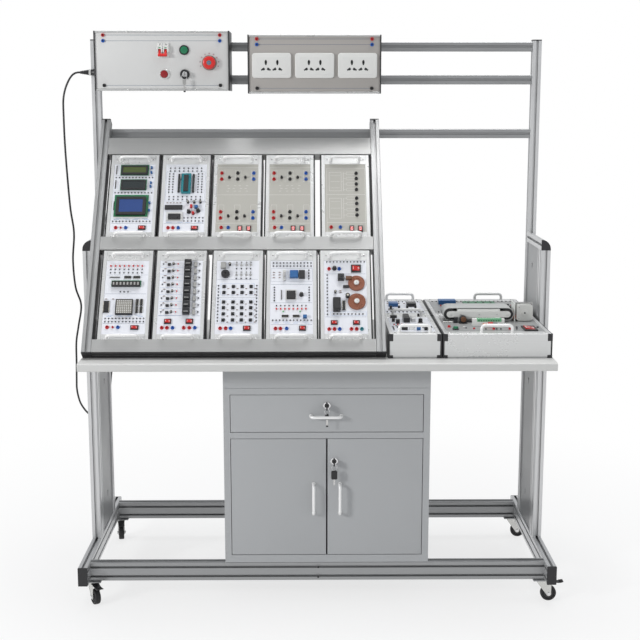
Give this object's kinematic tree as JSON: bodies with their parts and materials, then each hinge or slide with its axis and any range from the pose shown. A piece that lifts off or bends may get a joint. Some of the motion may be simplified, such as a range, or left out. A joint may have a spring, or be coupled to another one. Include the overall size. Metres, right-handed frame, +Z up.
{
  "type": "microcontroller training system",
  "caption": "Wheeled aluminium-profile training bench: table with a cabinet, leaning rack of plug-in electronics modules, supply and outlet boxes, table modules and a mains lead.",
  "frame": {"origin": "on the floor under the middle of the bench's bounding box, the free mains cord, its coil and its plug left out", "axes": "+X to the right for someone standing at the front, +Y to the back, +Z up; the doors, the drawer and the rack's panels face -Y"},
  "size_m": [1.6341, 0.7953, 1.793],
  "materials": {
    "anodised_aluminium": "satin anodised",
    "black_cord": "black sheath",
    "black_rubber": "matt black",
    "cabinet_paint": "grey coated board",
    "conveyor_belt_rubber": "dark green, matt",
    "green_plastic": "green",
    "module_panel": "light grey printed panel in a black and silver case",
    "outlet_box_paint": "taupe grey panel in a silver and black case",
    "red_plastic": "red",
    "satin_aluminium": "satin anodised, warm silver",
    "side_panel_paint": "dark grey sheet",
    "supply_box_paint": "light grey panel in a silver and black case",
    "table_laminate": "light grey laminate on board",
    "zinc_plate": "bright zinc plate"
  },
  "bodies": {
    "bench": {"base_rail_front": "anodised_aluminium", "base_rail_left": "anodised_aluminium", "base_rail_rear": "anodised_aluminium", "base_rail_right": "anodised_aluminium", "board_module": "module_panel", "cabinet_carcass": "cabinet_paint", "controller_module": "module_panel", "conveyor_belt": "conveyor_belt_rubber", "conveyor_module": "module_panel", "cord_coil": "black_cord", "cross_rail_lower": "anodised_aluminium", "cross_rail_middle": "anodised_aluminium", "cross_rail_top": "anodised_aluminium", "display_module": "module_panel", "dual_supply_module": "module_panel", "front_post_left": "anodised_aluminium", "front_post_right": "anodised_aluminium", "guard_rail_left": "anodised_aluminium", "guard_rail_right": "anodised_aluminium", "indicator_module": "module_panel", "keypad_module": "module_panel", "mains_cord": "black_cord", "mains_plug": "black_cord", "motor_module": "module_panel", "outlet_box": "outlet_box_paint", "rack_bottom_band": "satin_aluminium", "rack_middle_band": "satin_aluminium", "rack_post_left": "anodised_aluminium", "rack_post_right": "anodised_aluminium", "rack_top_band": "satin_aluminium", "rear_module": "module_panel", "rear_upright_left": "anodised_aluminium", "rear_upright_right": "anodised_aluminium", "relay_module": "module_panel", "side_panel_left": "side_panel_paint", "side_panel_right": "side_panel_paint", "signal_module": "module_panel", "supply_a_module": "module_panel", "supply_b_module": "module_panel", "supply_box": "supply_box_paint", "table_top": "table_laminate", "wide_rear_module": "module_panel"},
    "castor_fork_front_left": {"castor_fork_front_left": "zinc_plate"},
    "castor_wheel_front_left": {"castor_wheel_front_left": "black_rubber"},
    "castor_fork_front_right": {"castor_fork_front_right": "zinc_plate"},
    "castor_wheel_front_right": {"castor_wheel_front_right": "black_rubber"},
    "castor_fork_rear_left": {"castor_fork_rear_left": "zinc_plate"},
    "castor_wheel_rear_left": {"castor_wheel_rear_left": "black_rubber"},
    "castor_fork_rear_right": {"castor_fork_rear_right": "zinc_plate"},
    "castor_wheel_rear_right": {"castor_wheel_rear_right": "black_rubber"},
    "drawer": {"drawer": "cabinet_paint"},
    "door_left": {"door_left": "cabinet_paint"},
    "door_right": {"door_right": "cabinet_paint"},
    "start_button": {"start_button": "green_plastic"},
    "stop_button": {"stop_button": "red_plastic"},
    "switch_key": {"switch_key": "zinc_plate"},
    "emergency_button": {"emergency_button": "red_plastic"},
    "breaker_toggle": {"breaker_toggle": "red_plastic"},
    "drive_roller": {"drive_roller": "black_rubber"},
    "idler_roller": {"idler_roller": "black_rubber"}
  },
  "joints": [
    {"name": "front_left_castor_swivel", "type": "hinge", "parent": "bench", "child": "castor_fork_front_left", "pos_m": [-0.715, -0.259, 0.06], "axis": [0, 0, 1], "continuous": true},
    {"name": "front_left_castor_roll", "type": "hinge", "parent": "castor_fork_front_left", "child": "castor_wheel_front_left", "pos_m": [-0.704, -0.27805, 0.025], "axis": [0.866, 0.5, 0], "continuous": true},
    {"name": "front_right_castor_swivel", "type": "hinge", "parent": "bench", "child": "castor_fork_front_right", "pos_m": [0.715, -0.259, 0.06], "axis": [0, 0, 1], "continuous": true},
    {"name": "front_right_castor_roll", "type": "hinge", "parent": "castor_fork_front_right", "child": "castor_wheel_front_right", "pos_m": [0.737, -0.259, 0.025], "axis": [0, 1, 0], "continuous": true},
    {"name": "rear_left_castor_swivel", "type": "hinge", "parent": "bench", "child": "castor_fork_rear_left", "pos_m": [-0.715, 0.324, 0.06], "axis": [0, 0, 1], "continuous": true},
    {"name": "rear_left_castor_roll", "type": "hinge", "parent": "castor_fork_rear_left", "child": "castor_wheel_rear_left", "pos_m": [-0.71118, 0.30233, 0.025], "axis": [0.9848, 0.1736, 0], "continuous": true},
    {"name": "rear_right_castor_swivel", "type": "hinge", "parent": "bench", "child": "castor_fork_rear_right", "pos_m": [0.715, 0.324, 0.06], "axis": [0, 0, 1], "continuous": true},
    {"name": "rear_right_castor_roll", "type": "hinge", "parent": "castor_fork_rear_right", "child": "castor_wheel_rear_right", "pos_m": [0.73679, 0.32094, 0.025], "axis": [0.1392, 0.9903, 0], "continuous": true},
    {"name": "drawer_slide", "type": "slide", "parent": "bench", "child": "drawer", "axis": [0, -1, 0], "range_m": [0, 0.3]},
    {"name": "left_door_hinge", "type": "hinge", "parent": "bench", "child": "door_left", "pos_m": [-0.271, -0.274, 0.35], "axis": [0, 0, -1], "range_deg": [0, 110]},
    {"name": "right_door_hinge", "type": "hinge", "parent": "bench", "child": "door_right", "pos_m": [0.329, -0.274, 0.35], "axis": [0, 0, 1], "range_deg": [0, 110]},
    {"name": "start_button_press", "type": "slide", "parent": "bench", "child": "start_button", "axis": [0, 1, 0], "range_m": [0, 0.003], "stiffness_N_per_m": 400},
    {"name": "stop_button_press", "type": "slide", "parent": "bench", "child": "stop_button", "axis": [0, 1, 0], "range_m": [0, 0.003], "stiffness_N_per_m": 400},
    {"name": "key_turn", "type": "hinge", "parent": "bench", "child": "switch_key", "pos_m": [-0.425, 0.0732, 1.65653], "axis": [0, 1, 0], "range_deg": [0, 90]},
    {"name": "emergency_button_press", "type": "slide", "parent": "bench", "child": "emergency_button", "axis": [0, 1, 0], "range_m": [0, 0.005]},
    {"name": "breaker_toggle_swing", "type": "hinge", "parent": "bench", "child": "breaker_toggle", "pos_m": [-0.494, 0.0692, 1.73203], "axis": [-1, 0, 0], "range_deg": [0, 60]},
    {"name": "drive_roller_turn", "type": "hinge", "parent": "bench", "child": "drive_roller", "pos_m": [0.6091, -0.1, 0.9003], "axis": [0, 1, 0], "continuous": true},
    {"name": "idler_roller_turn", "type": "hinge", "parent": "bench", "child": "idler_roller", "pos_m": [0.4241, -0.1, 0.9003], "axis": [0, 1, 0], "continuous": true}
  ],
  "couplings": [
    {"joint": "idler_roller_turn", "follows": "drive_roller_turn", "ratio": 1}
  ]
}
